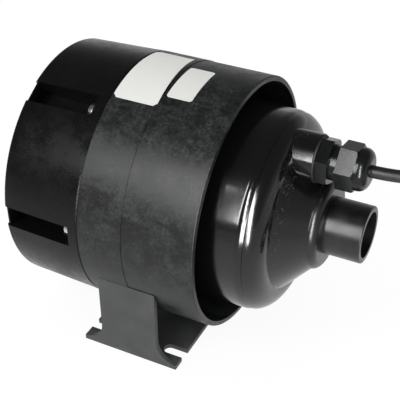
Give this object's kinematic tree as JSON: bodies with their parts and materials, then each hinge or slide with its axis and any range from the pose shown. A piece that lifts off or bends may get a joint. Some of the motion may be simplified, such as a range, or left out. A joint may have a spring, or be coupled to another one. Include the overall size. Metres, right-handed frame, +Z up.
{
  "type": "hot tub air blower",
  "caption": "Round black hot tub air blower on a slotted foot: through-flow fan and brushed motor in a bell, ring inlet, pipe outlet, cable gland and corded plug.",
  "frame": {"origin": "on the floor under the middle of the blower's box, cord and plug left out", "axes": "+X along the blower's axis towards the outlet, +Z up from the foot, -Y towards the camera"},
  "size_m": [0.3917, 0.1506, 0.1548],
  "materials": {
    "casing_black": "satin moulded ABS",
    "bell_black": "glossy moulded ABS",
    "gland_black": "satin nylon",
    "foot_grey": "matte bent sheet",
    "zinc_steel": "bright zinc plate",
    "screw_steel": "bright plated steel",
    "foam_grey": "open-cell foam",
    "gasket_rubber": "soft rubber",
    "fan_aluminium": "pressed sheet",
    "cast_aluminium": "as cast",
    "lamination_steel": "stacked sheet, varnished",
    "shaft_steel": "ground",
    "bearing_steel": "polished",
    "copper_wire": "enamelled winding wire",
    "copper_bar": "turned copper",
    "brass_part": "pressed brass",
    "carbon": "pressed carbon",
    "spring_steel": "drawn wire",
    "cord_jacket": "soft moulded jacket",
    "plug_black": "moulded grip",
    "pin_brass": "turned brass"
  },
  "bodies": {
    "housing": {"sleeve": "casing_black", "rear_cap": "casing_black", "cap_screws": "screw_steel", "foam_silencer": "foam_grey", "fan_support_plate": "zinc_steel", "bell_housing": "bell_black", "gland_washer": "gasket_rubber", "gland_body": "gland_black", "gland_seal": "gasket_rubber", "gland_nut": "gland_black", "mounting_foot": "foot_grey", "inlet_gasket": "gasket_rubber", "fan_case": "zinc_steel", "diffuser": "fan_aluminium", "rear_bracket": "cast_aluminium", "motor_gasket": "gasket_rubber", "stator_core": "lamination_steel", "field_coils": "copper_wire", "front_bracket": "cast_aluminium", "front_cushion": "gasket_rubber", "motor_bolts": "screw_steel", "rear_bearing": "bearing_steel", "front_bearing": "bearing_steel", "upper_brush_holder": "brass_part", "lower_brush_holder": "brass_part", "upper_brush_spring": "spring_steel", "lower_brush_spring": "spring_steel", "cord": "cord_jacket", "cord_coil": "cord_jacket", "plug": "plug_black", "plug_pins": "pin_brass"},
    "rotor": {"motor_shaft": "shaft_steel", "fan": "fan_aluminium", "fan_nut": "zinc_steel", "fan_spacer": "brass_part", "armature_core": "lamination_steel", "armature_windings": "copper_wire", "commutator": "copper_bar"},
    "upper_brush": {"upper_brush": "carbon"},
    "lower_brush": {"lower_brush": "carbon"}
  },
  "joints": [
    {"name": "rotor_spin", "type": "hinge", "parent": "housing", "child": "rotor", "pos_m": [0, 0, 0.0795], "axis": [1, 0, 0], "continuous": true},
    {"name": "upper_brush_slide", "type": "slide", "parent": "housing", "child": "upper_brush", "axis": [0, 0, 1], "range_m": [0, 0.006], "stiffness_N_per_m": 100, "springref_m": -0.01, "deforming": ["upper_brush_spring"]},
    {"name": "lower_brush_slide", "type": "slide", "parent": "housing", "child": "lower_brush", "axis": [0, 0, -1], "range_m": [0, 0.006], "stiffness_N_per_m": 100, "springref_m": -0.01, "deforming": ["lower_brush_spring"]}
  ]
}
